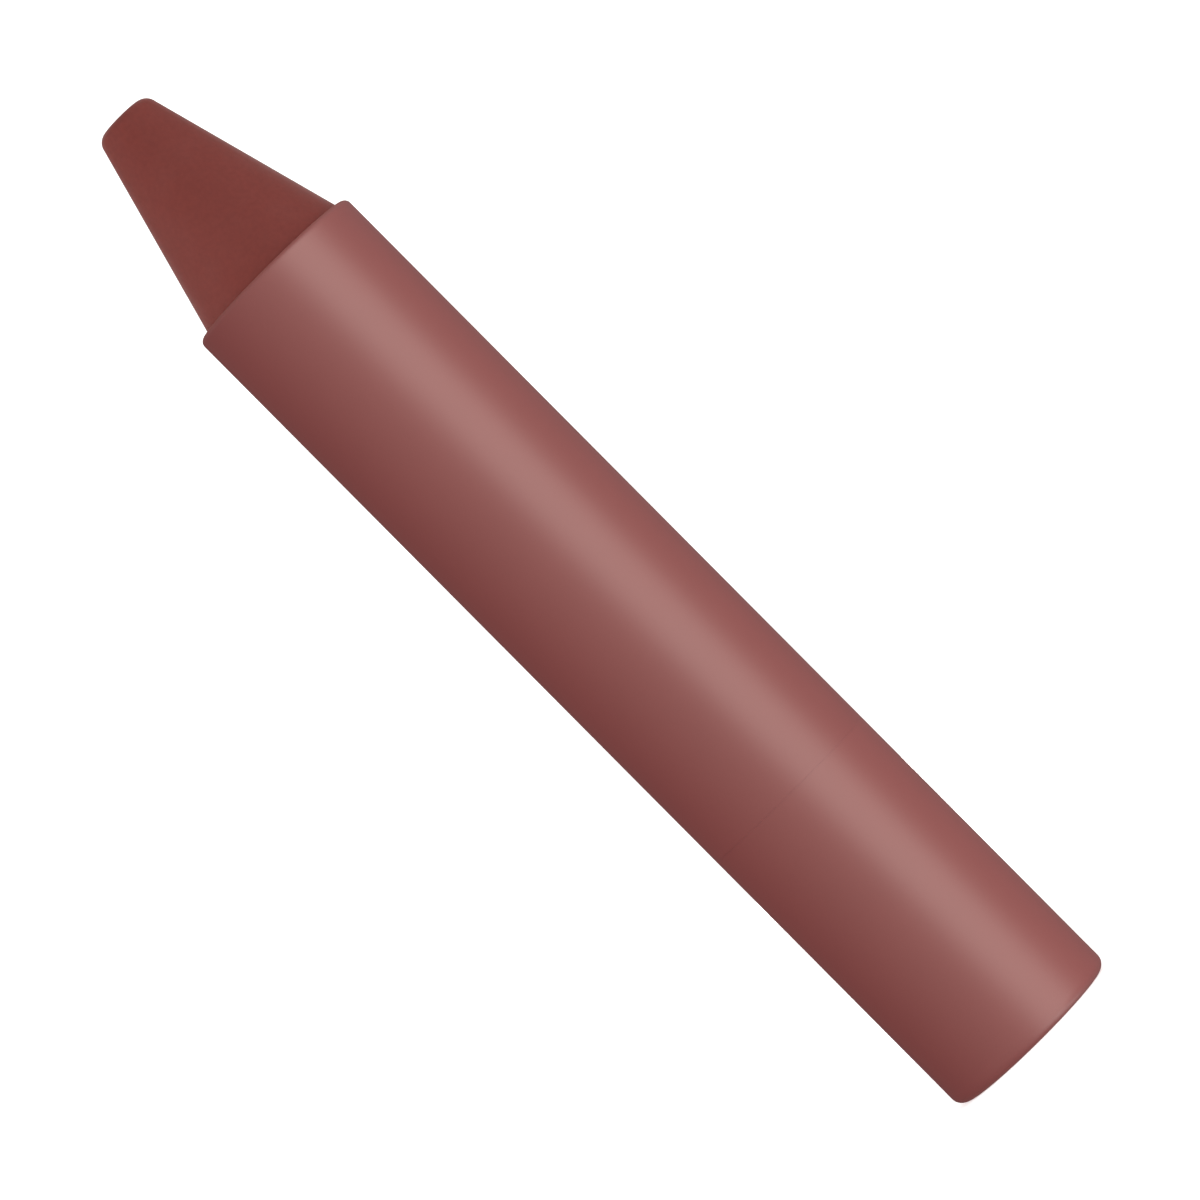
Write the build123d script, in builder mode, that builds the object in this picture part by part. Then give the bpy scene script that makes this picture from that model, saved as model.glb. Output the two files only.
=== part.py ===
"""Twist crayon: a stubby stick of crayon in a satin barrel, moved by turning the rear of the barrel.

The frame stands the crayon upright on its flat rear end: +Z runs along the barrel to the tip,
and the origin is the centre of the rear face. The rest pose is the one with the whole cone out.
"""

import os

from build123d import *

# Outer form of the two barrels, in millimetres
barrel_diameter = 13.0
barrel_length = 68.4
twist_length = 22.0
seam_gap = 0.005
front_wall = 0.65
twist_wall = 0.8
mouth_round = 0.45
mouth_chamfer = 0.08
rear_round = 0.8
lead_in = 0.25
least_land = 0.1

# Crayon stick
cone_length = 13.6
tip_diameter = 4.14
tip_round = 0.9
crayon_clearance = 0.1
retract_depth = 0.5

# Closed rear end and the plug that drives the screw
rim_wall = 1.5
rim_height = 2.5
plug_flange = 1.8
plug_floor = 1.3
plug_edge_chamfer = 0.15
key_count = 4
key_width = 1.2
key_height = 1.0
key_depth = 0.4

# Lead screw: a two-start left-hand thread, so a clockwise twist seen from the rear feeds the crayon out
screw_core_diameter = 2.4
thread_height = 0.6
thread_ridge_width = 1.5
thread_edge_round = 0.15
thread_bevel = 0.4
thread_lead = 6.0
thread_clearance = 0.12
screw_square = 3.0
screw_flange = 1.0
screw_flange_clearance = 0.6
screw_overrun = 0.2

# Bearing between the two barrels
journal_clearance = 0.05
sleeve_wall = 1.25
thrust_gap = 0.05
washer_thickness = 0.4
washer_clearance = 0.3
brake_ring_section = 0.8
brake_ring_offset = 3.5
brake_clearance = 0.02
brake_groove_play = 0.1
retaining_ring_thickness = 0.8
retaining_ring_catch = 0.25
retaining_ring_depth = 0.55
retaining_ring_split = 2.5
retaining_ring_from_seam = 4.0
retaining_groove_depth = 0.85
retaining_groove_play = 0.1

# Nut, plunger and guide
nut_thread_length = 3.6
nut_socket_depth = 1.6
nut_clearance = 0.1
nut_rear_gap = 0.35
plunger_clearance = 0.2
plunger_wall = 0.55
spline_count = 4
spline_height = 0.45
spline_width = 1.2
guide_length = 3.2
guide_clearance = 0.06
stop_gap = 0.2

# Cup that holds the tail of the crayon
cup_floor = 1.2
cup_depth = 1.6
cup_wall = 0.7
cup_clearance = 0.2
cup_margin = 0.7
cup_rib_count = 4
cup_rib_width = 0.6
cup_rib_height = 0.4
cup_ring_section = 0.6
cup_ring_height = 0.6
cup_ring_clearance = 0.03
cup_groove_play = 0.05

# Slack between pieces that are pressed or moulded together
seat_clearance = 0.02

# Radii worked out from the outside in
barrel_radius = barrel_diameter / 2
bore_radius = barrel_radius - front_wall
twist_bore_radius = barrel_radius - twist_wall
rim_radius = barrel_radius - rim_wall
journal_radius = twist_bore_radius - journal_clearance
sleeve_bore_radius = journal_radius - sleeve_wall
nut_radius = sleeve_bore_radius - nut_clearance
crayon_radius = bore_radius - crayon_clearance
tip_radius = tip_diameter / 2
cup_radius = bore_radius - cup_clearance
cup_inner_radius = cup_radius - cup_wall

# Radii worked out from the screw outwards
core_radius = screw_core_diameter / 2
crest_radius = core_radius + thread_height
plunger_bore_radius = crest_radius + plunger_clearance
plunger_radius = plunger_bore_radius + plunger_wall
spline_radius = plunger_radius + spline_height

# Heights of the pieces that stay with the barrels
front_rear = twist_length + seam_gap
plug_top = rim_height + plug_flange
thread_start = plug_top + screw_flange
washer_bottom = thread_start + thrust_gap
sleeve_bottom = washer_bottom + washer_thickness
nut_length = nut_thread_length + nut_socket_depth
cup_height = cup_floor + cup_depth
nut_retracted = sleeve_bottom + nut_rear_gap
fixed_stack = nut_retracted + nut_length + stop_gap + guide_length + stop_gap + cup_height + cup_margin
feed_travel = (barrel_length - fixed_stack) / 2
guide_bottom = nut_retracted + nut_length + feed_travel + stop_gap
guide_top = guide_bottom + guide_length
thread_top = nut_retracted + feed_travel + nut_thread_length + screw_overrun
thread_length = thread_top - thread_start

# Heights of the pieces that feed with the crayon, at rest
retract_travel = cone_length + retract_depth
advance_travel = feed_travel - retract_travel
nut_bottom = nut_retracted + retract_travel
socket_floor = nut_bottom + nut_thread_length
nut_top = nut_bottom + nut_length
cup_bottom = guide_top + stop_gap + retract_travel
cup_floor_top = cup_bottom + cup_floor
cup_top = cup_bottom + cup_height
tip_top = barrel_length + cone_length

# Grooves for the rings
brake_ring_radius = twist_bore_radius - brake_clearance - brake_ring_section / 2
brake_groove_radius = brake_ring_radius - brake_ring_section / 2 - seat_clearance
brake_groove_width = brake_ring_section + 2 * brake_groove_play
brake_height = sleeve_bottom + brake_ring_offset
retaining_outer_radius = twist_bore_radius + retaining_ring_catch
retaining_inner_radius = journal_radius - retaining_ring_depth
retaining_groove_radius = journal_radius - retaining_groove_depth
retaining_groove_width = retaining_ring_thickness + 2 * retaining_groove_play
retaining_catch_radius = retaining_outer_radius + retaining_groove_play
retaining_height = twist_length - retaining_ring_from_seam
cup_ring_radius = bore_radius - cup_ring_clearance - cup_ring_section / 2
cup_groove_radius = cup_ring_radius - cup_ring_section / 2 - seat_clearance
cup_groove_width = cup_ring_section + 2 * cup_groove_play
cup_ring_level = cup_bottom + cup_ring_height


def annulus(outer, inner):
    """Ring-shaped face between two radii, drawn in the open sketch."""
    Circle(outer)
    Circle(inner, mode=Mode.SUBTRACT)


def splined_face(grow):
    """Round face with the plunger's splines, drawn in the open sketch and enlarged by grow all round."""
    Circle(plunger_radius + grow)
    with PolarLocations(0, spline_count):
        Rectangle(spline_radius + grow, spline_width + 2 * grow, align=(Align.MIN, Align.CENTER))


def thread_face(grow):
    """Cross-section of the two-start thread, drawn in the open sketch and enlarged by grow all round."""
    Rectangle(4 * crest_radius, thread_ridge_width + 2 * grow)
    Circle(crest_radius + grow, mode=Mode.INTERSECT)
    Circle(core_radius + grow)


# Straight path up the screw's axis, and the helix that turns the thread's section along it
thread_path = Edge.make_line((0, 0, thread_start), (0, 0, thread_top))
thread_guide = Edge.make_helix(
    thread_lead, thread_length, crest_radius, center=(0, 0, thread_start), lefthand=True
)

# Front barrel: the outer tube that is held, with its rounded mouth
with BuildPart() as front_barrel:
    with BuildSketch(Plane.XY.offset(front_rear)):
        annulus(barrel_radius, bore_radius)
    extrude(amount=barrel_length - front_rear)
    mouth_rim = front_barrel.edges().group_by(Axis.Z)[-1].sort_by(SortBy.RADIUS)[-1]
    fillet(mouth_rim, min(mouth_round, front_wall - mouth_chamfer - least_land))
    mouth_bore = front_barrel.edges().group_by(Axis.Z)[-1].sort_by(SortBy.RADIUS)[0]
    chamfer(mouth_bore, mouth_chamfer)
    rear_bore = front_barrel.edges().group_by(Axis.Z)[0].sort_by(SortBy.RADIUS)[0]
    chamfer(rear_bore, min(lead_in, front_wall - least_land))

# Twist barrel: the rear outer tube, thick at its end, with a catch groove and notches for the plug
with BuildPart() as twist_barrel:
    with BuildSketch():
        annulus(barrel_radius, rim_radius)
    extrude(amount=rim_height)
    with BuildSketch(Plane.XY.offset(rim_height)):
        annulus(barrel_radius, twist_bore_radius)
    extrude(amount=twist_length - rim_height)
    rear_edge = twist_barrel.edges().group_by(Axis.Z)[0].sort_by(SortBy.RADIUS)[-1]
    fillet(rear_edge, min(rear_round, rim_wall - least_land))
    front_bore = twist_barrel.edges().group_by(Axis.Z)[-1].sort_by(SortBy.RADIUS)[0]
    chamfer(front_bore, min(lead_in, twist_wall - least_land))
    with BuildSketch(Plane.XY.offset(retaining_height)):
        annulus(retaining_catch_radius, twist_bore_radius - journal_clearance)
    extrude(amount=retaining_groove_width / 2, both=True, mode=Mode.SUBTRACT)
    with BuildSketch(Plane.XY.offset(rim_height)):
        with PolarLocations(0, key_count):
            Rectangle(
                rim_radius + key_depth,
                key_width + 2 * seat_clearance,
                align=(Align.MIN, Align.CENTER),
            )
    extrude(amount=-key_height - seat_clearance, mode=Mode.SUBTRACT)

# Drive plug: closes the rear end flush, is keyed to the twist barrel and turns the screw's square tail
with BuildPart() as drive_plug:
    with BuildSketch():
        Circle(rim_radius - seat_clearance)
    extrude(amount=rim_height)
    chamfer(drive_plug.edges().group_by(Axis.Z)[0], plug_edge_chamfer)
    with BuildSketch(Plane.XY.offset(rim_height)):
        Circle(twist_bore_radius - seat_clearance)
    extrude(amount=plug_flange)
    with BuildSketch(Plane.XY.offset(rim_height)):
        with PolarLocations(0, key_count):
            Rectangle(
                rim_radius + key_depth - seat_clearance,
                key_width,
                align=(Align.MIN, Align.CENTER),
            )
    extrude(amount=-key_height)
    with BuildSketch(Plane.XY.offset(plug_top)):
        Rectangle(screw_square + 2 * seat_clearance, screw_square + 2 * seat_clearance)
    extrude(amount=plug_floor - plug_top, mode=Mode.SUBTRACT)

# Lead screw: square tail, flange and two-start thread with a bevelled end
with BuildPart() as lead_screw:
    with BuildSketch(Plane.XY.offset(plug_floor + seat_clearance)):
        Rectangle(screw_square, screw_square)
    extrude(amount=plug_top - plug_floor - seat_clearance)
    with BuildSketch(Plane.XY.offset(plug_top)):
        Circle(twist_bore_radius - screw_flange_clearance)
    extrude(amount=screw_flange)
    with BuildSketch(Plane.XY.offset(thread_start)) as thread_section:
        thread_face(0)
        crest_corners = thread_section.vertices().sort_by_distance((0, 0))[-4:]
        fillet(crest_corners, thread_edge_round)
    sweep(path=thread_path, binormal=thread_guide)
    with BuildSketch(Plane.XZ):
        with BuildLine():
            Polyline(
                (crest_radius - thread_bevel, thread_top),
                (crest_radius + thread_bevel, thread_top),
                (crest_radius + thread_bevel, thread_top - 2 * thread_bevel),
                close=True,
            )
        make_face()
    revolve(axis=Axis.Z, mode=Mode.SUBTRACT)

# Thrust washer: lies on the sleeve's rear end and takes the pull of the screw's flange
with BuildPart() as thrust_washer:
    with BuildSketch(Plane.XY.offset(washer_bottom)):
        annulus(journal_radius - washer_clearance, crest_radius + washer_clearance)
    extrude(amount=washer_thickness)

# Bearing sleeve: fixed in the front barrel, its rear half is the journal that the twist barrel turns on
with BuildPart() as bearing_sleeve:
    with BuildSketch(Plane.XY.offset(sleeve_bottom)):
        annulus(journal_radius, sleeve_bore_radius)
    extrude(amount=front_rear - sleeve_bottom)
    with BuildSketch(Plane.XY.offset(front_rear)):
        annulus(bore_radius - seat_clearance, sleeve_bore_radius)
    extrude(amount=guide_bottom - front_rear)
    sleeve_rims = bearing_sleeve.edges().filter_by(GeomType.CIRCLE).group_by(Axis.Z)
    rear_rim = sleeve_rims[0].sort_by(SortBy.RADIUS)[-1]
    front_rim = sleeve_rims[-1].sort_by(SortBy.RADIUS)[-1]
    chamfer([rear_rim, front_rim], lead_in)
    with BuildSketch(Plane.XY.offset(brake_height)):
        annulus(barrel_radius, brake_groove_radius)
    extrude(amount=brake_groove_width / 2, both=True, mode=Mode.SUBTRACT)
    with BuildSketch(Plane.XY.offset(retaining_height)):
        annulus(barrel_radius, retaining_groove_radius)
    extrude(amount=retaining_groove_width / 2, both=True, mode=Mode.SUBTRACT)

# Brake ring: an O-ring in the sleeve's groove that drags on the twist barrel
with BuildPart() as brake_ring:
    with BuildSketch(Plane.XZ):
        with Locations((brake_ring_radius, brake_height)):
            Circle(brake_ring_section / 2)
    revolve(axis=Axis.Z)

# Retaining ring: a split ring in the sleeve's groove that catches the twist barrel endwise
with BuildPart() as retaining_ring:
    with BuildSketch(Plane.XY.offset(retaining_height)):
        annulus(retaining_outer_radius, retaining_inner_radius)
        Rectangle(barrel_radius, retaining_ring_split, align=(Align.MIN, Align.CENTER), mode=Mode.SUBTRACT)
    extrude(amount=retaining_ring_thickness / 2, both=True)

# Guide bush: fixed ahead of the sleeve, its splined hole keeps the plunger from turning
with BuildPart() as guide_bush:
    with BuildSketch(Plane.XY.offset(guide_bottom)):
        Circle(bore_radius - seat_clearance)
    extrude(amount=guide_length)
    chamfer(guide_bush.edges().filter_by(GeomType.CIRCLE), lead_in)
    with BuildSketch(Plane.XY.offset(guide_bottom)):
        splined_face(guide_clearance)
    extrude(amount=guide_length, mode=Mode.SUBTRACT)

# Feed nut: threaded on the screw, with a socket that takes the plunger's rear end
with BuildPart() as feed_nut:
    with BuildSketch(Plane.XY.offset(nut_bottom)):
        Circle(nut_radius)
    extrude(amount=nut_length)
    chamfer(feed_nut.edges().filter_by(GeomType.CIRCLE), lead_in)
    with BuildSketch(Plane.XY.offset(socket_floor)):
        Circle(plunger_radius + seat_clearance)
    extrude(amount=nut_socket_depth, mode=Mode.SUBTRACT)
    with BuildSketch(Plane.XY.offset(thread_start)):
        thread_face(thread_clearance)
    sweep(path=thread_path, binormal=thread_guide, mode=Mode.SUBTRACT)

# Plunger tube: clears the screw inside, is splined outside, and its closed front end plugs into the cup
with BuildPart() as plunger_tube:
    with BuildSketch(Plane.XY.offset(socket_floor)):
        Circle(plunger_radius)
    extrude(amount=cup_floor_top - socket_floor)
    with BuildSketch(Plane.XY.offset(nut_top)):
        splined_face(0)
    extrude(amount=cup_bottom - nut_top)
    with BuildSketch(Plane.XY.offset(socket_floor)):
        Circle(plunger_bore_radius)
    extrude(amount=cup_bottom - socket_floor, mode=Mode.SUBTRACT)

# Crayon cup: carried by the plunger, with ribs that grip the crayon's tail and a groove for its ring
with BuildPart() as crayon_cup:
    with BuildSketch(Plane.XY.offset(cup_bottom)):
        annulus(cup_radius, plunger_radius + seat_clearance)
    extrude(amount=cup_floor)
    with BuildSketch(Plane.XY.offset(cup_floor_top)):
        annulus(cup_radius, cup_inner_radius)
        with PolarLocations(cup_inner_radius - cup_rib_height, cup_rib_count):
            Rectangle(cup_rib_height + cup_wall / 2, cup_rib_width, align=(Align.MIN, Align.CENTER))
    extrude(amount=cup_depth)
    with BuildSketch(Plane.XY.offset(cup_ring_level)):
        annulus(barrel_radius, cup_groove_radius)
    extrude(amount=cup_groove_width / 2, both=True, mode=Mode.SUBTRACT)

# Cup ring: a soft ring that centres the cup in the bore
with BuildPart() as cup_ring:
    with BuildSketch(Plane.XZ):
        with Locations((cup_ring_radius, cup_ring_level)):
            Circle(cup_ring_section / 2)
    revolve(axis=Axis.Z)

# Crayon: blunt cone, straight body and a stepped tail moulded round the cup's ribs
with BuildPart() as crayon:
    with BuildSketch(Plane.XY.offset(cup_floor_top)):
        Circle(cup_inner_radius - seat_clearance)
        with PolarLocations(cup_inner_radius - cup_rib_height - seat_clearance, cup_rib_count):
            Rectangle(
                cup_rib_height + cup_wall,
                cup_rib_width + 2 * seat_clearance,
                align=(Align.MIN, Align.CENTER),
                mode=Mode.SUBTRACT,
            )
    extrude(amount=cup_depth)
    with BuildSketch(Plane.XZ):
        with BuildLine():
            Polyline(
                (0, cup_top),
                (crayon_radius, cup_top),
                (crayon_radius, barrel_length),
                (tip_radius, tip_top),
                (0, tip_top),
                close=True,
            )
        make_face()
    revolve(axis=Axis.Z)
    tip_edge = crayon.edges().filter_by(GeomType.CIRCLE).group_by(Axis.Z)[-1]
    fillet(tip_edge, min(tip_round, tip_radius - least_land))

pieces = {
    "front_barrel": front_barrel,
    "twist_barrel": twist_barrel,
    "drive_plug": drive_plug,
    "lead_screw": lead_screw,
    "thrust_washer": thrust_washer,
    "bearing_sleeve": bearing_sleeve,
    "brake_ring": brake_ring,
    "retaining_ring": retaining_ring,
    "guide_bush": guide_bush,
    "feed_nut": feed_nut,
    "plunger_tube": plunger_tube,
    "crayon_cup": crayon_cup,
    "cup_ring": cup_ring,
    "crayon": crayon,
}
os.makedirs("parts", exist_ok=True)
for name, piece in pieces.items():
    piece.part.label = name
    export_step(piece.part, f"parts/{name}.step")

retract_turns = retract_travel / thread_lead
advance_turns = advance_travel / thread_lead
print(f"Feed from rest: {-retract_travel:.3f} to {advance_travel:.3f} mm")
print(f"Twist from rest: {-360 * retract_turns:.1f} to {360 * advance_turns:.1f} degrees")
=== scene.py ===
"""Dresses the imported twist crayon: two satin barrels, a cast crayon and the feed's finishes.

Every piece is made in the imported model's own frame, in metres. The crayon stands on its flat rear
end with its axis on Z, so each turned piece is a profile of (radius, height) points spun about
that axis.
"""

import math

import bmesh
import bpy
from bpy.props import FloatProperty, FloatVectorProperty, IntProperty, PointerProperty
from mathutils import Matrix, Vector, noise


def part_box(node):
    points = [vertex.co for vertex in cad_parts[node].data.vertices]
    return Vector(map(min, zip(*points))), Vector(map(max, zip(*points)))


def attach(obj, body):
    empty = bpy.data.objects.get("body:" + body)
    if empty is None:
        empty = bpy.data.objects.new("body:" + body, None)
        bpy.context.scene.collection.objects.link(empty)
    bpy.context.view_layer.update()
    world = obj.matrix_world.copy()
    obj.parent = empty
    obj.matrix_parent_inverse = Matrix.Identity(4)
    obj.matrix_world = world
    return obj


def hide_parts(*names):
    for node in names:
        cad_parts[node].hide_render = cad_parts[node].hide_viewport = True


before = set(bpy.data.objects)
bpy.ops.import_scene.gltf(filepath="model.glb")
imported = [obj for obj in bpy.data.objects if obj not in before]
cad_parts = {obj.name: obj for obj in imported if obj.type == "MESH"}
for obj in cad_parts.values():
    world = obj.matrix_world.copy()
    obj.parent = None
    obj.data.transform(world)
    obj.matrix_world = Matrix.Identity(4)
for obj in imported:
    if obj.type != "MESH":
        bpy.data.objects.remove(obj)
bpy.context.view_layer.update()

bl_info = {
    "name": "Twist crayon",
    "version": (1, 0, 0),
    "blender": (4, 5, 0),
    "location": "3D View > Sidebar > Crayon",
    "description": "Builds and finishes the pieces of a twist crayon around its packed model",
    "category": "Object",
}

MM = 0.001
WELD = 1e-4 * MM  # points nearer than this become one
SHARP = math.radians(32)  # an edge that bends by more stays sharp
SWELL, DIMPLE = 1.8 * MM, 0.7 * MM  # widths of the wax's broad and fine unevenness
SENSOR_WIDTH = 36.0  # in mm, as the focal length is
NEAREST, FARTHEST = 0.01, 10.0  # what the camera sees lies between these

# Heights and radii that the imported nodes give
BARREL_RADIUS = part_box("front_barrel")[1].x
SEAM_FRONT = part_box("front_barrel")[0].z
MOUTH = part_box("front_barrel")[1].z
SEAM_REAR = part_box("twist_barrel")[1].z
PLUG_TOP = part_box("drive_plug")[1].z
STICK_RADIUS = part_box("crayon")[1].x
STICK_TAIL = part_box("crayon")[0].z
STICK_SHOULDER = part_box("crayon_cup")[1].z
STICK_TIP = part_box("crayon")[1].z


def linear(code):
    """Linear RGB of an sRGB hex colour such as #8D5554."""
    channels = [int(code[i : i + 2], 16) / 255 for i in (1, 3, 5)]
    return tuple(c / 12.92 if c <= 0.04045 else ((c + 0.055) / 1.055) ** 2.4 for c in channels)


def opaque(colour, gain=1.0):
    """Four-channel colour for a shader socket, made lighter or darker by gain."""
    return (*(min(1.0, c * gain) for c in colour), 1.0)


def length(default, name, description):
    """Property for a size in metres."""
    return FloatProperty(
        name=name, description=description, default=default, min=0.0, unit="LENGTH", precision=5
    )


def colour(code, name, description):
    """Property for a colour, given as its sRGB hex value."""
    return FloatVectorProperty(
        name=name,
        description=description,
        default=linear(code),
        min=0.0,
        max=1.0,
        size=3,
        subtype="COLOR",
    )


def angular(degrees, name, description):
    """Property for an angle, given in degrees."""
    return FloatProperty(
        name=name, description=description, default=math.radians(degrees), subtype="ANGLE"
    )


def wattage(default, name, description):
    """Property for a light's power in watts."""
    return FloatProperty(name=name, description=description, default=default, unit="POWER")


def brightness(default, name, description):
    """Property for the strength of a glow."""
    return FloatProperty(name=name, description=description, default=default)


class BarrelSettings(bpy.types.PropertyGroup):
    """Sizes and colours of the two barrels and the plug that closes the rear end."""

    lacquer: colour("#773230", "Lacquer", "Colour of the satin lacquer on the barrels")
    highlight: colour("#FFF5ED", "Highlight", "Tint that pearl pigment gives the reflections")
    rub: colour("#7B3831", "Rub", "Colour of the wax that rubs off on the mouth")
    rub_width: length(0.22 * MM, "Rub width", "How far that wax reaches down the mouth's edge")
    front_wall: length(0.65 * MM, "Front wall", "Wall of the front barrel")
    twist_wall: length(0.8 * MM, "Twist wall", "Wall of the twist barrel")
    mouth_round: length(0.45 * MM, "Mouth round", "Radius of the mouth's outer edge")
    mouth_chamfer: length(0.08 * MM, "Mouth chamfer", "Chamfer of the mouth's inner edge")
    rear_round: length(0.8 * MM, "Rear round", "Radius of the rear end's edge")
    lead_in: length(0.25 * MM, "Lead-in", "Chamfer at the open end of each bore")
    rim_wall: length(1.5 * MM, "Rim wall", "Wall of the thick rim at the rear end")
    rim_height: length(2.5 * MM, "Rim height", "Height of the thick rim")
    groove_level: length(18.0 * MM, "Groove level", "Height of the retaining ring's groove")
    groove_width: length(1.0 * MM, "Groove width", "Width of the retaining ring's groove")
    groove_depth: length(0.35 * MM, "Groove depth", "Depth of the retaining ring's groove")
    key_width: length(1.2 * MM, "Key width", "Width of the plug's keys")
    key_height: length(1.0 * MM, "Key height", "Height of the plug's keys")
    key_depth: length(0.4 * MM, "Key depth", "How far the plug's keys stand out")
    plug_chamfer: length(0.15 * MM, "Plug chamfer", "Chamfer round the plug's visible face")
    socket_width: length(3.04 * MM, "Socket width", "Width of the square hole for the screw's tail")
    socket_floor: length(1.3 * MM, "Socket floor", "Thickness of the plug under the square hole")
    seat: length(0.02 * MM, "Seat", "Slack between the plug and the barrel")


class StickSettings(bpy.types.PropertyGroup):
    """Sizes and colours of the crayon stick."""

    wax: colour("#7B3831", "Wax", "Colour of the cast wax")
    bloom: colour("#E3D5D2", "Bloom", "Colour of the thin bloom that wax gets on its surface")
    tip_radius: length(2.07 * MM, "Tip radius", "Radius of the tip before its edge is rounded")
    tip_round: length(0.9 * MM, "Tip round", "Radius of the tip's edge")
    shoulder_round: length(0.3 * MM, "Shoulder round", "How softly the cone runs into the body")
    tail_radius: length(4.93 * MM, "Tail radius", "Radius of the tail in the cup")
    rib_width: length(0.64 * MM, "Rib slot width", "Width of the slots for the cup's ribs")
    rib_depth: length(0.4 * MM, "Rib slot depth", "Depth of those slots")
    relief: length(0.006 * MM, "Relief", "Depth of the cast surface's unevenness")


class StageSettings(bpy.types.PropertyGroup):
    """Camera, light and floor."""

    camera_distance: length(443.5 * MM, "Camera distance", "From the crayon's axis to the camera")
    aim_height: length(38.94 * MM, "Aim height", "Height that the middle of the picture shows")
    aim_side: length(0.03 * MM, "Aim side", "How far the axis lies to the middle's bright side")
    lean: angular(44.82, "Lean", "How far the crayon leans to the left in the picture")
    lens: FloatProperty(
        name="Lens", description="Focal length on a 36 mm sensor", default=210.0, unit="CAMERA"
    )
    key_angle: angular(40.3, "Key angle", "How far the softbox stands round from the camera")
    light_distance: length(0.4, "Light distance", "From the crayon to each softbox")
    key_width: length(0.404, "Key width", "Width of the main softbox")
    key_height: length(1.853, "Key height", "Height of the main softbox")
    key_drop: length(0.276, "Key drop", "How far the main softbox hangs below the crayon's middle")
    key_power: wattage(3.58, "Key power", "Power of the main softbox")
    side_angle: angular(-96.0, "Side angle", "How far the barrel's fill light stands round")
    side_width: length(0.2, "Side width", "Width of the barrel's fill light")
    side_height: length(0.3, "Side height", "Height of the barrel's fill light")
    side_power: wattage(0.87, "Side power", "Power of the barrel's fill light")
    wax_key_height: length(0.3, "Wax key height", "Height of the wax's own key light")
    wax_key_power: wattage(0.48, "Wax key power", "Power of the wax's own key light")
    fill_angle: angular(-82.0, "Fill angle", "How far the wax's fill light stands round")
    fill_size: length(0.15, "Fill size", "Width and height of the wax's fill light")
    fill_power: wattage(0.73, "Fill power", "Power of the wax's fill light")
    under_side: length(0.12, "Under side", "How far the under light stands to the bright side")
    under_drop: length(0.25, "Under drop", "How far the under light lies below the floor")
    under_width: length(0.08, "Under width", "Width of the under light")
    under_depth: length(0.25, "Under depth", "Depth of the under light, away from the camera")
    under_power: wattage(0.126, "Under power", "Power of the under light")
    back_width: length(0.17, "Back width", "Width of the softbox behind the crayon")
    back_height: length(0.6, "Back height", "Height of the softbox behind the crayon")
    back_power: wattage(0.75, "Back power", "Power of the softbox behind the crayon")
    room_light: brightness(0.498, "Room light", "Brightness of the room at the crayon's level")
    room_slope: brightness(0.375, "Room slope", "How much brighter the room's bright side is")
    room_angle: angular(25.2, "Room angle", "How far the room's bright side lies round")
    room_rise: brightness(0.091, "Room rise", "How much brighter the ceiling is than the walls")
    room_glow: brightness(0.02, "Room glow", "Light added by the floor and ceiling")
    floor_radius: length(1.2, "Floor radius", "Radius of the floor, up to the bend")
    sweep_radius: length(0.5, "Sweep radius", "Radius of the bend between floor and wall")
    wall_height: length(1.6, "Wall height", "Height of the wall")
    paper: colour("#F4F3F1", "Paper", "Colour of the floor and wall")
    floor_glow: brightness(0.62, "Floor glow", "Light that comes through the floor's paper")


class MeshSettings(bpy.types.PropertyGroup):
    """How finely the turned pieces are divided."""

    segments: IntProperty(
        name="Segments", description="Divisions round a turned piece", default=256, min=24
    )
    barrel_row: length(2.0 * MM, "Barrel row", "Longest run between rows on the barrels")
    stick_row: length(0.2 * MM, "Stick row", "Longest run between rows on the crayon")
    cove_row: length(0.2, "Cove row", "Longest run between rows on the background")


def arc(centre, radius, start, end, steps=8):
    """Points of a round edge; start and end are in degrees, from outward towards up."""
    turns = [math.radians(start + (end - start) * i / steps) for i in range(steps + 1)]
    return [(centre[0] + radius * math.cos(a), centre[1] + radius * math.sin(a)) for a in turns]


def with_rows(profile, spacing):
    """The profile with evenly spaced points added along its long runs."""
    points = [profile[0]]
    for start, end in zip(profile, profile[1:]):
        steps = max(1, math.ceil(math.dist(start, end) / spacing))
        for i in range(1, steps + 1):
            share = i / steps
            points.append(tuple(a + (b - a) * share for a, b in zip(start, end)))
    return points


def turned(name, profile, row):
    """Spins a profile about Z into a smooth object.

    A profile that doesn't start and end on the axis is closed.
    """
    segments = bpy.context.scene.crayon_mesh.segments
    on_axis = profile[0][0] == 0 and profile[-1][0] == 0
    points = with_rows(profile if on_axis else profile + profile[:1], row)
    shape = bmesh.new()
    verts = [shape.verts.new((r, 0, z)) for r, z in points]
    edges = [shape.edges.new(pair) for pair in zip(verts, verts[1:])]
    bmesh.ops.spin(
        shape,
        geom=verts + edges,
        axis=(0, 0, 1),
        cent=(0, 0, 0),
        angle=math.tau,
        steps=segments,
        use_merge=True,
    )
    bmesh.ops.remove_doubles(shape, verts=shape.verts, dist=WELD)
    bmesh.ops.recalc_face_normals(shape, faces=shape.faces)
    return finished(name, shape)


def finished(name, shape):
    """Object made from a bmesh, smooth apart from its sharp edges."""
    mesh = bpy.data.meshes.new(name)
    shape.to_mesh(mesh)
    shape.free()
    mesh.shade_smooth()
    mesh.set_sharp_from_angle(angle=SHARP)
    piece = bpy.data.objects.new(name, mesh)
    bpy.context.scene.collection.objects.link(piece)
    return piece


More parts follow.
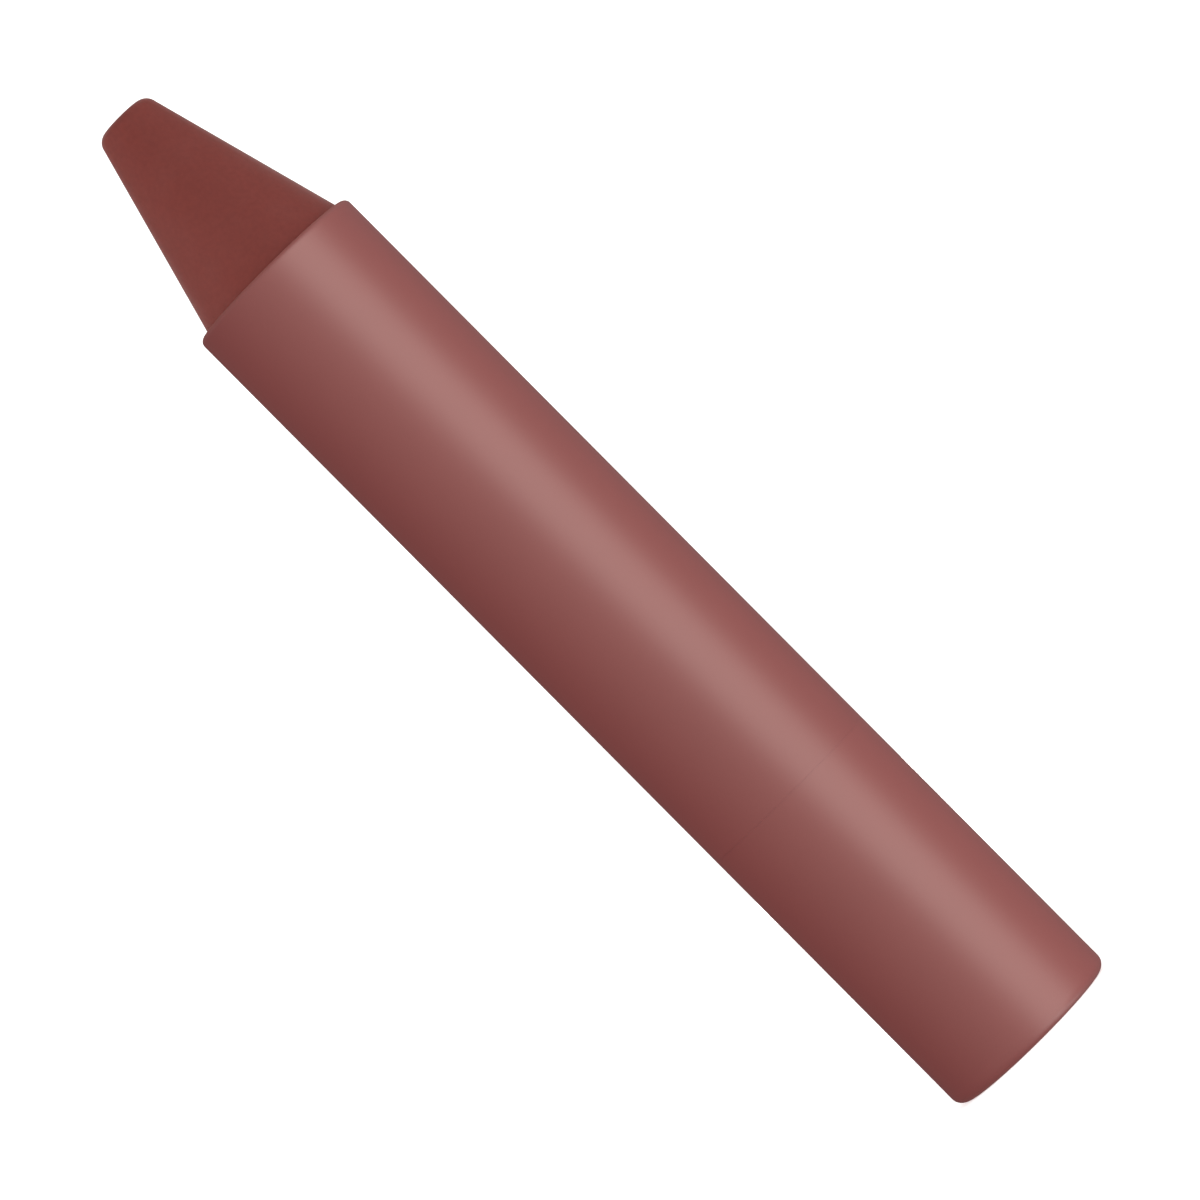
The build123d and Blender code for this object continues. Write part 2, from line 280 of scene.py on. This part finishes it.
def boxed(name, blocks):
    """Object of separate blocks, each with its lowest and highest corner and its turn about Z."""
    shape = bmesh.new()
    for low, high, turn in blocks:
        middle = (Vector(low) + Vector(high)) / 2
        size = Vector(high) - Vector(low)
        stand = Matrix.Rotation(turn, 4, "Z") @ Matrix.Translation(middle)
        place = stand @ Matrix.Diagonal((*size, 1))
        bmesh.ops.create_cube(shape, size=1.0, matrix=place)
    return finished(name, shape)


def combined(piece, tool, operation):
    """Cuts tool out of piece or joins it on, and removes tool."""
    change = piece.modifiers.new(tool.name, "BOOLEAN")
    change.operation = operation
    change.object = tool
    change.solver = "EXACT"
    graph = bpy.context.evaluated_depsgraph_get()
    shape = bmesh.new()
    shape.from_object(piece, graph)
    bmesh.ops.remove_doubles(shape, verts=shape.verts, dist=WELD)
    piece.modifiers.clear()
    shape.to_mesh(piece.data)
    shape.free()
    piece.data.shade_smooth()
    piece.data.set_sharp_from_angle(angle=SHARP)
    spent = tool.data
    bpy.data.objects.remove(tool)
    bpy.data.meshes.remove(spent)
    return piece


def quarter_turns(low, high):
    """One block repeated at four quarter turns about Z."""
    return [(low, high, i * math.pi / 2) for i in range(4)]


def cells(size_mm):
    """Texture scale, in cells per metre, for a pattern of that real size."""
    return 1000 / size_mm


def add_node(tree, kind, inputs, **settings):
    """Adds one shader node with its settings, and sets or links its inputs."""
    made = tree.nodes.new(kind)
    for name, value in settings.items():
        setattr(made, name, value)
    for key, value in inputs.items():
        if isinstance(value, bpy.types.NodeSocket):
            tree.links.new(value, made.inputs[key])
        else:
            made.inputs[key].default_value = value
    return made


def new_material(name):
    """Empty node material; returns it with its tree and its object coordinates."""
    material = bpy.data.materials.new(name)
    material.use_nodes = True
    tree = material.node_tree
    tree.nodes.clear()
    place = add_node(tree, "ShaderNodeTexCoord", {}).outputs["Object"]
    return material, tree, place


def surfaced(material, tree, inputs):
    """Closes a material with its shader and output."""
    shader = add_node(tree, "ShaderNodeBsdfPrincipled", inputs)
    add_node(tree, "ShaderNodeOutputMaterial", {"Surface": shader.outputs["BSDF"]})
    return material


def satin_lacquered_abs(settings):
    """Moulded ABS with a sprayed satin lacquer.

    The lacquer spreads the light into one broad soft highlight, tinted by its pearl pigment, and
    its film is a little uneven, as fine as orange peel. The colour clouds very slightly along the
    tube. Wax that has rubbed off on the mouth leaves a thin dull line there.
    """
    material, tree, place = new_material("satin_lacquered_abs")
    cloud = add_node(
        tree, "ShaderNodeTexNoise", {"Vector": place, "Scale": cells(11), "Detail": 3.0}
    )
    # the pigment's flakes are about 0.03 mm, and are drawn coarser so that they show
    flakes = add_node(
        tree, "ShaderNodeTexNoise", {"Vector": place, "Scale": cells(0.22), "Detail": 1.0}
    )
    peel = add_node(
        tree, "ShaderNodeTexNoise", {"Vector": place, "Scale": cells(0.9), "Detail": 1.0}
    )
    mixed = add_node(
        tree,
        "ShaderNodeMath",
        {0: flakes.outputs["Fac"], 1: 0.35, 2: cloud.outputs["Fac"]},
        operation="MULTIPLY_ADD",
    )
    tone = add_node(
        tree,
        "ShaderNodeMapRange",
        {"Value": mixed.outputs[0], "From Min": 0.35, "From Max": 1.0},
    )
    shade = add_node(
        tree,
        "ShaderNodeMix",
        {
            0: tone.outputs[0],
            6: opaque(settings.lacquer, 0.965),
            7: opaque(settings.lacquer, 1.035),
        },
        data_type="RGBA",
    )
    gloss = add_node(
        tree,
        "ShaderNodeMapRange",
        {
            "Value": cloud.outputs["Fac"],
            "From Min": 0.25,
            "From Max": 0.75,
            "To Min": 0.422,
            "To Max": 0.448,
        },
    )
    film = add_node(
        tree,
        "ShaderNodeBump",
        {"Height": peel.outputs["Fac"], "Strength": 0.25, "Distance": 0.004 * MM},
    )
    grain = add_node(
        tree,
        "ShaderNodeBump",
        {
            "Height": flakes.outputs["Fac"],
            "Strength": 0.25,
            "Distance": 0.002 * MM,
            "Normal": film.outputs[0],
        },
    )
    # only the front barrel's mouth reaches the height of the rub
    height = add_node(tree, "ShaderNodeSeparateXYZ", {"Vector": place}).outputs["Z"]
    rub = add_node(
        tree,
        "ShaderNodeMapRange",
        {"Value": height, "From Min": MOUTH - settings.rub_width, "From Max": MOUTH},
    )
    rubbed = add_node(
        tree,
        "ShaderNodeMix",
        {0: rub.outputs[0], 6: shade.outputs[2], 7: opaque(settings.rub)},
        data_type="RGBA",
    )
    dulled = add_node(
        tree, "ShaderNodeMix", {0: rub.outputs[0], 2: gloss.outputs[0], 3: 1.0}, data_type="FLOAT"
    )
    return surfaced(
        material,
        tree,
        {
            "Base Color": rubbed.outputs[2],
            "Roughness": dulled.outputs[0],
            "Normal": grain.outputs[0],
            "IOR": 1.52,
            "Specular IOR Level": 1.0,
            "Specular Tint": opaque(settings.highlight),
        },
    )


def cast_crayon_wax(settings):
    """Pigmented wax cast in a polished mould.

    It is matte and a little soft to the light: the shade stays even round the cone, thin bloom
    lightens it towards the edges, and the pigment clouds and leaves pin-prick pits.
    """
    material, tree, place = new_material("cast_crayon_wax")
    cloud = add_node(
        tree, "ShaderNodeTexNoise", {"Vector": place, "Scale": cells(2.6), "Detail": 4.0}
    )
    pigment = add_node(
        tree, "ShaderNodeTexNoise", {"Vector": place, "Scale": cells(0.3), "Detail": 2.0}
    )
    pits = add_node(tree, "ShaderNodeTexVoronoi", {"Vector": place, "Scale": cells(0.4)})
    haze = add_node(
        tree,
        "ShaderNodeMapRange",
        {"Value": cloud.outputs["Fac"], "From Min": 0.45, "From Max": 0.85, "To Max": 0.012},
    )
    speck = add_node(
        tree,
        "ShaderNodeMapRange",
        {"Value": pigment.outputs["Fac"], "From Min": 0.3, "From Max": 0.7},
    )
    body = add_node(
        tree,
        "ShaderNodeMix",
        {0: speck.outputs[0], 6: opaque(settings.wax, 0.95), 7: opaque(settings.wax, 1.05)},
        data_type="RGBA",
    )
    bloomed = add_node(
        tree,
        "ShaderNodeMix",
        {0: haze.outputs[0], 6: body.outputs[2], 7: opaque(settings.bloom)},
        data_type="RGBA",
    )
    dryness = add_node(
        tree,
        "ShaderNodeMapRange",
        {
            "Value": cloud.outputs["Fac"],
            "From Min": 0.3,
            "From Max": 0.7,
            "To Min": 0.62,
            "To Max": 0.72,
        },
    )
    hollow = add_node(
        tree, "ShaderNodeMapRange", {"Value": pits.outputs["Distance"], "From Max": 0.25}
    )
    pitted = add_node(
        tree,
        "ShaderNodeBump",
        {"Height": hollow.outputs[0], "Strength": 0.2, "Distance": 0.006 * MM},
    )
    grain = add_node(
        tree,
        "ShaderNodeBump",
        {
            "Height": pigment.outputs["Fac"],
            "Strength": 0.3,
            "Distance": 0.006 * MM,
            "Normal": pitted.outputs[0],
        },
    )
    return surfaced(
        material,
        tree,
        {
            "Base Color": bloomed.outputs[2],
            "Roughness": dryness.outputs[0],
            "Normal": grain.outputs[0],
            "IOR": 1.44,
            "Specular IOR Level": 0.25,
            "Subsurface Weight": 0.4,
            "Subsurface Radius": (1.0, 0.5, 0.4),
            "Subsurface Scale": 1.5 * MM,
            "Sheen Weight": 0.5,
            "Sheen Roughness": 0.3,
            "Sheen Tint": opaque(settings.bloom),
        },
    )


def moulded_resin(name, code, flow_mm, roughness, ior, spread):
    """Unpainted moulded plastic of the mechanism.

    Melt flow leaves it faintly streaked along the axis, and the mould's steel gives it a fine
    even grain.
    """
    material, tree, place = new_material(name)
    tint = linear(code)
    drawn = add_node(tree, "ShaderNodeMapping", {"Vector": place, "Scale": (1.0, 1.0, 0.2)})
    flow = add_node(
        tree,
        "ShaderNodeTexNoise",
        {"Vector": drawn.outputs[0], "Scale": cells(flow_mm), "Detail": 3.0},
    )
    grit = add_node(
        tree, "ShaderNodeTexNoise", {"Vector": place, "Scale": cells(0.15), "Detail": 1.0}
    )
    shade = add_node(
        tree,
        "ShaderNodeMix",
        {0: flow.outputs["Fac"], 6: opaque(tint, 1 - spread), 7: opaque(tint, 1 + spread)},
        data_type="RGBA",
    )
    gloss = add_node(
        tree,
        "ShaderNodeMapRange",
        {"Value": flow.outputs["Fac"], "To Min": roughness - 0.06, "To Max": roughness + 0.06},
    )
    grain = add_node(
        tree,
        "ShaderNodeBump",
        {"Height": grit.outputs["Fac"], "Strength": 0.3, "Distance": 0.004 * MM},
    )
    return surfaced(
        material,
        tree,
        {
            "Base Color": shade.outputs[2],
            "Roughness": gloss.outputs[0],
            "Normal": grain.outputs[0],
            "IOR": ior,
        },
    )


def drawn_spring_steel():
    """Spring steel drawn and coiled into a ring.

    It is bright, with fine lines along the wire that vary its shade and its gloss.
    """
    material, tree, place = new_material("drawn_spring_steel")
    steel = linear("#C4C2BE")
    along = add_node(tree, "ShaderNodeMapping", {"Vector": place, "Scale": (1.0, 1.0, 12.0)})
    lines = add_node(
        tree,
        "ShaderNodeTexNoise",
        {"Vector": along.outputs[0], "Scale": cells(0.8), "Detail": 4.0},
    )
    shade = add_node(
        tree,
        "ShaderNodeMix",
        {0: lines.outputs["Fac"], 6: opaque(steel, 0.85), 7: opaque(steel, 1.05)},
        data_type="RGBA",
    )
    gloss = add_node(
        tree, "ShaderNodeMapRange", {"Value": lines.outputs["Fac"], "To Min": 0.22, "To Max": 0.4}
    )
    drawn = add_node(
        tree,
        "ShaderNodeBump",
        {"Height": lines.outputs["Fac"], "Strength": 0.3, "Distance": 0.003 * MM},
    )
    return surfaced(
        material,
        tree,
        {
            "Base Color": shade.outputs[2],
            "Metallic": 1.0,
            "Roughness": gloss.outputs[0],
            "Normal": drawn.outputs[0],
        },
    )


def moulded_rubber(name, code, roughness):
    """Rubber moulded as a thin ring: dull, with a dusty surface that is lighter in patches."""
    material, tree, place = new_material(name)
    tint = linear(code)
    dust = add_node(
        tree, "ShaderNodeTexNoise", {"Vector": place, "Scale": cells(1.4), "Detail": 4.0}
    )
    grit = add_node(
        tree, "ShaderNodeTexNoise", {"Vector": place, "Scale": cells(0.12), "Detail": 1.0}
    )
    shade = add_node(
        tree,
        "ShaderNodeMix",
        {0: dust.outputs["Fac"], 6: opaque(tint, 0.85), 7: opaque(tint, 1.25)},
        data_type="RGBA",
    )
    gloss = add_node(
        tree,
        "ShaderNodeMapRange",
        {"Value": dust.outputs["Fac"], "To Min": roughness - 0.08, "To Max": roughness + 0.08},
    )
    grain = add_node(
        tree,
        "ShaderNodeBump",
        {"Height": grit.outputs["Fac"], "Strength": 0.4, "Distance": 0.004 * MM},
    )
    return surfaced(
        material,
        tree,
        {
            "Base Color": shade.outputs[2],
            "Roughness": gloss.outputs[0],
            "Normal": grain.outputs[0],
            "IOR": 1.52,
        },
    )


def background_paper(settings):
    """Matte white background paper, with a faint pulp grain and no gloss.

    It is lit from behind, and most of all up the wall.
    """
    material, tree, place = new_material("background_paper")
    pulp = add_node(
        tree, "ShaderNodeTexNoise", {"Vector": place, "Scale": cells(3.0), "Detail": 3.0}
    )
    shade = add_node(
        tree,
        "ShaderNodeMix",
        {0: pulp.outputs["Fac"], 6: opaque(settings.paper, 0.99), 7: opaque(settings.paper, 1.01)},
        data_type="RGBA",
    )
    height = add_node(tree, "ShaderNodeSeparateXYZ", {"Vector": place}).outputs["Z"]
    glow = add_node(
        tree,
        "ShaderNodeMapRange",
        {"Value": height, "From Max": settings.sweep_radius, "To Min": settings.floor_glow},
    )
    return surfaced(
        material,
        tree,
        {
            "Base Color": shade.outputs[2],
            "Roughness": 1.0,
            "Specular IOR Level": 0.0,
            "Emission Color": opaque((1.0, 1.0, 1.0)),
            "Emission Strength": glow.outputs[0],
        },
    )


def shared(name, make, *values):
    """The material of that name, made on its first use."""
    return bpy.data.materials.get(name) or make(*values)


def placed(piece, body, slot, material, *nodes):
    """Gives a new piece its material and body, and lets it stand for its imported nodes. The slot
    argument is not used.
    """
    piece.data.materials.clear()
    piece.data.materials.append(material)
    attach(piece, body)
    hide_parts(*nodes)
    return piece


class CRAYON_OT_front_barrel(bpy.types.Operator):
    """Turns the front barrel with its rounded mouth"""

    bl_idname = "crayon.front_barrel"
    bl_label = "Front barrel"

    def execute(self, context):
        sizes = context.scene.crayon_barrel
        bore = BARREL_RADIUS - sizes.front_wall
        mouth = sizes.mouth_round
        profile = [
            (bore, SEAM_FRONT + sizes.lead_in),
            (bore + sizes.lead_in, SEAM_FRONT),
            (BARREL_RADIUS, SEAM_FRONT),
            *arc((BARREL_RADIUS - mouth, MOUTH - mouth), mouth, 0, 90, steps=10),
            (bore + sizes.mouth_chamfer, MOUTH),
            (bore, MOUTH - sizes.mouth_chamfer),
        ]
        shell = turned("front_barrel_shell", profile, context.scene.crayon_mesh.barrel_row)
        lacquer = shared("satin_lacquered_abs", satin_lacquered_abs, sizes)
        placed(shell, "front", "barrel_satin", lacquer, "front_barrel")
        return {"FINISHED"}


class CRAYON_OT_twist_barrel(bpy.types.Operator):
    """Turns the twist barrel, with its ring groove and the notches that take the plug's keys"""

    bl_idname = "crayon.twist_barrel"
    bl_label = "Twist barrel"

    def execute(self, context):
        sizes = context.scene.crayon_barrel
        bore = BARREL_RADIUS - sizes.twist_wall
        rim = BARREL_RADIUS - sizes.rim_wall
        rear = sizes.rear_round
        groove_low = sizes.groove_level - sizes.groove_width / 2
        groove_high = sizes.groove_level + sizes.groove_width / 2
        profile = [
            (rim, 0.0),
            *arc((BARREL_RADIUS - rear, rear), rear, -90, 0, steps=12),
            (BARREL_RADIUS, SEAM_REAR),
            (bore + sizes.lead_in, SEAM_REAR),
            (bore, SEAM_REAR - sizes.lead_in),
            (bore, groove_high),
            (bore + sizes.groove_depth, groove_high),
            (bore + sizes.groove_depth, groove_low),
            (bore, groove_low),
            (bore, sizes.rim_height),
            (rim, sizes.rim_height),
        ]
        shell = turned("twist_barrel_shell", profile, context.scene.crayon_mesh.barrel_row)
        half = sizes.key_width / 2 + sizes.seat
        low = (rim - sizes.key_depth, -half, sizes.rim_height - sizes.key_height - sizes.seat)
        high = (rim + sizes.key_depth, half, sizes.rim_height + sizes.key_height)
        combined(shell, boxed("key_notches", quarter_turns(low, high)), "DIFFERENCE")
        lacquer = shared("satin_lacquered_abs", satin_lacquered_abs, sizes)
        placed(shell, "twist", "barrel_satin", lacquer, "twist_barrel")
        return {"FINISHED"}


class CRAYON_OT_end_plug(bpy.types.Operator):
    """Turns the plug that closes the rear end, with its keys and the square hole for the screw"""

    bl_idname = "crayon.end_plug"
    bl_label = "End plug"

    def execute(self, context):
        sizes = context.scene.crayon_barrel
        rim = BARREL_RADIUS - sizes.rim_wall
        face = rim - sizes.seat
        flange = BARREL_RADIUS - sizes.twist_wall - sizes.seat
        profile = [
            (0.0, 0.0),
            (face - sizes.plug_chamfer, 0.0),
            (face, sizes.plug_chamfer),
            (face, sizes.rim_height),
            (flange, sizes.rim_height),
            (flange, PLUG_TOP),
            (0.0, PLUG_TOP),
        ]
        plug = turned("end_plug", profile, context.scene.crayon_mesh.barrel_row)
        half = sizes.key_width / 2
        low = (face - sizes.key_depth, -half, sizes.rim_height - sizes.key_height)
        high = (rim + sizes.key_depth - sizes.seat, half, sizes.rim_height + sizes.key_depth)
        combined(plug, boxed("plug_keys", quarter_turns(low, high)), "UNION")
        side = sizes.socket_width / 2
        low = (-side, -side, sizes.socket_floor)
        high = (side, side, PLUG_TOP + sizes.rim_height)
        combined(plug, boxed("screw_socket", [(low, high, 0.0)]), "DIFFERENCE")
        lacquer = shared("satin_lacquered_abs", satin_lacquered_abs, sizes)
        placed(plug, "twist", "barrel_satin", lacquer, "drive_plug")
        return {"FINISHED"}


class CRAYON_OT_stick(bpy.types.Operator):
    """Turns the crayon stick and gives it a cast surface"""

    bl_idname = "crayon.stick"
    bl_label = "Crayon stick"

    def execute(self, context):
        sizes = context.scene.crayon_stick
        slope = math.atan2(STICK_RADIUS - sizes.tip_radius, STICK_TIP - MOUTH)
        inset = sizes.tip_round * math.tan((math.pi / 2 - slope) / 2)
        tip_centre = (sizes.tip_radius - inset, STICK_TIP - sizes.tip_round)
        bend = sizes.shoulder_round / math.tan((math.pi - slope) / 2)
        bend_centre = (STICK_RADIUS - sizes.shoulder_round, MOUTH - bend)
        cone_angle = math.degrees(slope)
        profile = [
            (0.0, STICK_TAIL),
            (sizes.tail_radius, STICK_TAIL),
            (sizes.tail_radius, STICK_SHOULDER),
            (STICK_RADIUS, STICK_SHOULDER),
            *arc(bend_centre, sizes.shoulder_round, 0, cone_angle, steps=3),
            *arc(tip_centre, sizes.tip_round, cone_angle, 90, steps=12),
            (0.0, STICK_TIP),
        ]
        stick = turned("crayon_stick", profile, context.scene.crayon_mesh.stick_row)
        for vert in stick.data.vertices:
            outward = Vector((vert.co.x, vert.co.y, 0.0))
            if outward.length < sizes.tip_radius / 2:
                continue
            ripple = noise.noise(vert.co / SWELL) + 0.5 * noise.noise(vert.co / DIMPLE)
            # the ripple goes from -1.5 to 1.5, so the surface sinks by up to the relief
            vert.co -= outward.normalized() * sizes.relief * (0.5 + ripple / 3)
        half = sizes.rib_width / 2
        low = (sizes.tail_radius - sizes.rib_depth, -half, STICK_TAIL - sizes.rib_depth)
        high = (STICK_RADIUS + sizes.rib_depth, half, STICK_SHOULDER)
        combined(stick, boxed("rib_slots", quarter_turns(low, high)), "DIFFERENCE")
        wax = shared("cast_crayon_wax", cast_crayon_wax, sizes)
        placed(stick, "carrier", "crayon_wax", wax, "crayon")
        return {"FINISHED"}


class CRAYON_OT_mechanism(bpy.types.Operator):
    """Gives each hidden piece of the feed its own finish"""

    bl_idname = "crayon.mechanism"
    bl_label = "Mechanism finishes"

    def execute(self, context):
        natural_acetal = moulded_resin("natural_acetal", "#E6E4DD", 2.5, 0.4, 1.48, 0.03)
        grey_acetal = moulded_resin("grey_acetal", "#B9B7B1", 2.0, 0.42, 1.48, 0.05)
        black_acetal = moulded_resin("black_acetal", "#2E2E31", 2.0, 0.45, 1.48, 0.2)
        sleeve_resin = moulded_resin("natural_polypropylene", "#E2E0DB", 3.5, 0.5, 1.49, 0.04)
        plunger_resin = moulded_resin("hazy_polypropylene", "#DEDCD6", 3.0, 0.52, 1.49, 0.04)
        nylon = moulded_resin("natural_nylon", "#E4DFCE", 1.5, 0.48, 1.53, 0.05)
        finishes = {
            "lead_screw": natural_acetal,
            "feed_nut": grey_acetal,
            "guide_bush": black_acetal,
            "bearing_sleeve": sleeve_resin,
            "plunger_tube": plunger_resin,
            "crayon_cup": plunger_resin,
            "thrust_washer": nylon,
            "retaining_ring": drawn_spring_steel(),
            "brake_ring": moulded_rubber("nitrile_rubber", "#272727", 0.62),
            "cup_ring": moulded_rubber("silicone_rubber", "#CBC8C3", 0.55),
        }
        for name, material in finishes.items():
            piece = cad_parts[name]
            piece.data.materials.clear()
            piece.data.materials.append(material)
        return {"FINISHED"}


def facing(angle):
    """Level direction at an angle round from the camera."""
    return Vector((math.sin(angle), -math.cos(angle), 0.0))


def softbox(name, angle, width, height, power, drop=0.0):
    """Upright soft light that faces the crayon from an angle round from the camera."""
    stage = bpy.context.scene.crayon_stage
    lamp = bpy.data.lights.new(name, "AREA")
    lamp.shape = "RECTANGLE"
    lamp.size = width
    lamp.size_y = height
    lamp.energy = power
    stand = bpy.data.objects.new(name, lamp)
    level = Vector((0.0, 0.0, stage.aim_height - drop))
    stand.location = level + facing(angle) * stage.light_distance
    stand.rotation_euler = facing(angle).to_track_quat("Z", "Y").to_euler()
    stand.visible_camera = False
    bpy.context.scene.collection.objects.link(stand)
    return stand


def held_to(name, piece, state="INCLUDE"):
    """Collection that holds a light to one piece, or keeps it off that piece alone."""
    linked = bpy.data.collections.new(name)
    linked.objects.link(piece)
    linked.collection_objects[0].light_linking.link_state = state
    return linked


class CRAYON_OT_stage(bpy.types.Operator):
    """Sets the floor, the light and the camera"""

    bl_idname = "crayon.stage"
    bl_label = "Stage"

    def execute(self, context):
        scene = context.scene
        stage = scene.crayon_stage
        sweep = stage.sweep_radius
        floor_edge = stage.floor_radius
        profile = [
            (0.0, 0.0),
            *arc((floor_edge, sweep), sweep, -90, 0, steps=16),
            (floor_edge + sweep, stage.wall_height),
            (0.0, stage.wall_height),
        ]
        cove = turned("background_cove", profile, scene.crayon_mesh.cove_row)
        cove.data.flip_normals()
        cove.data.materials.append(background_paper(stage))
        # the paper only fills the picture: it neither lights the crayon nor shades it from below
        cove.visible_diffuse = False
        cove.visible_glossy = False
        cove.visible_shadow = False

        back = softbox(
            "back_softbox", math.pi, stage.back_width, stage.back_height, stage.back_power
        )
        side = softbox(
            "side_softbox", stage.side_angle, stage.side_width, stage.side_height, stage.side_power
        )
        # both are polarised, so they bring out the colour and leave no highlight of their own
        for lamp in (back, side):
            lamp.visible_glossy = False
            lamp.data.cycles.use_multiple_importance_sampling = False
        key = softbox(
            "key_softbox",
            stage.key_angle,
            stage.key_width,
            stage.key_height,
            stage.key_power,
            stage.key_drop,
        )
        wax_key = softbox(
            "wax_key", stage.key_angle, stage.key_width, stage.wax_key_height, stage.wax_key_power
        )
        wax_fill = softbox(
            "wax_fill", stage.fill_angle, stage.fill_size, stage.fill_size, stage.fill_power
        )
        under = softbox(
            "under_light", 0.0, stage.under_width, stage.under_depth, stage.under_power
        )
        under.location = (stage.under_side, 0.0, -stage.under_drop)
        under.rotation_euler = (math.pi, 0.0, 0.0)
        # the highlight runs on round the rear edge, where the floor is lit from below
        rear = bpy.data.objects["twist_barrel_shell"]
        under.light_linking.receiver_collection = held_to("rear_only", rear)
        # the tall key and its fill are for the barrel; the wax has smaller lights of its own,
        # which the lip doesn't shade
        stick = bpy.data.objects["crayon_stick"]
        all_but_wax = held_to("all_but_wax", stick, "EXCLUDE")
        for lamp in (key, side):
            lamp.light_linking.receiver_collection = all_but_wax
        wax_only = held_to("wax_only", stick)
        for lamp in (wax_key, wax_fill):
            lamp.light_linking.receiver_collection = wax_only
            lamp.light_linking.blocker_collection = wax_only

        world = bpy.data.worlds.new("studio_light")
        world.use_nodes = True
        tree = world.node_tree
        tree.nodes.clear()
        direction = add_node(tree, "ShaderNodeTexCoord", {}).outputs["Generated"]
        bright_side = facing(stage.room_angle) * stage.room_slope
        bright_side.z += stage.room_rise
        slope = add_node(
            tree,
            "ShaderNodeVectorMath",
            {0: direction, 1: bright_side},
            operation="DOT_PRODUCT",
        )
        height = add_node(tree, "ShaderNodeSeparateXYZ", {"Vector": direction}).outputs["Z"]
        steep = add_node(tree, "ShaderNodeMath", {0: height}, operation="ABSOLUTE")
        level = add_node(
            tree,
            "ShaderNodeMath",
            {0: steep.outputs[0], 1: stage.room_glow, 2: stage.room_light},
            operation="MULTIPLY_ADD",
        )
        room = add_node(
            tree,
            "ShaderNodeMath",
            {0: level.outputs[0], 1: slope.outputs["Value"]},
            operation="ADD",
        )
        white = opaque((1.0, 1.0, 1.0))
        light = add_node(
            tree, "ShaderNodeBackground", {"Color": white, "Strength": room.outputs[0]}
        )
        add_node(tree, "ShaderNodeOutputWorld", {"Surface": light.outputs[0]})
        scene.world = world

        lens = bpy.data.cameras.new("photo_camera")
        lens.sensor_width = SENSOR_WIDTH
        lens.lens = stage.lens
        lens.clip_start = NEAREST
        lens.clip_end = FARTHEST
        camera = bpy.data.objects.new("photo_camera", lens)
        turn = Matrix.Rotation(math.pi / 2, 4, "X") @ Matrix.Rotation(-stage.lean, 4, "Z")
        stand = Vector((-stage.aim_side, -stage.camera_distance, stage.aim_height))
        camera.matrix_world = Matrix.Translation(stand) @ turn
        scene.collection.objects.link(camera)
        scene.camera = camera

        scene.view_settings.view_transform = "Standard"
        scene.view_settings.look = "None"
        return {"FINISHED"}


class CRAYON_PT_pieces(bpy.types.Panel):
    """Lists the pieces and their settings"""

    bl_idname = "CRAYON_PT_pieces"
    bl_label = "Twist crayon"
    bl_space_type = "VIEW_3D"
    bl_region_type = "UI"
    bl_category = "Crayon"

    def draw(self, context):
        for operator in OPERATORS:
            self.layout.operator(operator.bl_idname)
        for owner in SETTINGS:
            group = getattr(context.scene, owner)
            box = self.layout.box()
            for name in group.bl_rna.properties.keys():
                if name not in ("rna_type", "name"):
                    box.prop(group, name)


SETTINGS = {
    "crayon_barrel": BarrelSettings,
    "crayon_stick": StickSettings,
    "crayon_stage": StageSettings,
    "crayon_mesh": MeshSettings,
}
OPERATORS = (
    CRAYON_OT_front_barrel,
    CRAYON_OT_twist_barrel,
    CRAYON_OT_end_plug,
    CRAYON_OT_stick,
    CRAYON_OT_mechanism,
    CRAYON_OT_stage,
)


def register():
    for kind in (*SETTINGS.values(), *OPERATORS, CRAYON_PT_pieces):
        bpy.utils.register_class(kind)
    for owner, kind in SETTINGS.items():
        setattr(bpy.types.Scene, owner, PointerProperty(type=kind))


def unregister():
    for owner in SETTINGS:
        delattr(bpy.types.Scene, owner)
    for kind in (CRAYON_PT_pieces, *reversed(OPERATORS), *reversed(SETTINGS.values())):
        bpy.utils.unregister_class(kind)


def main():
    register()
    bpy.ops.crayon.front_barrel()
    bpy.ops.crayon.twist_barrel()
    bpy.ops.crayon.end_plug()
    bpy.ops.crayon.stick()
    bpy.ops.crayon.mechanism()
    bpy.ops.crayon.stage()


if __name__ == "__main__":
    main()
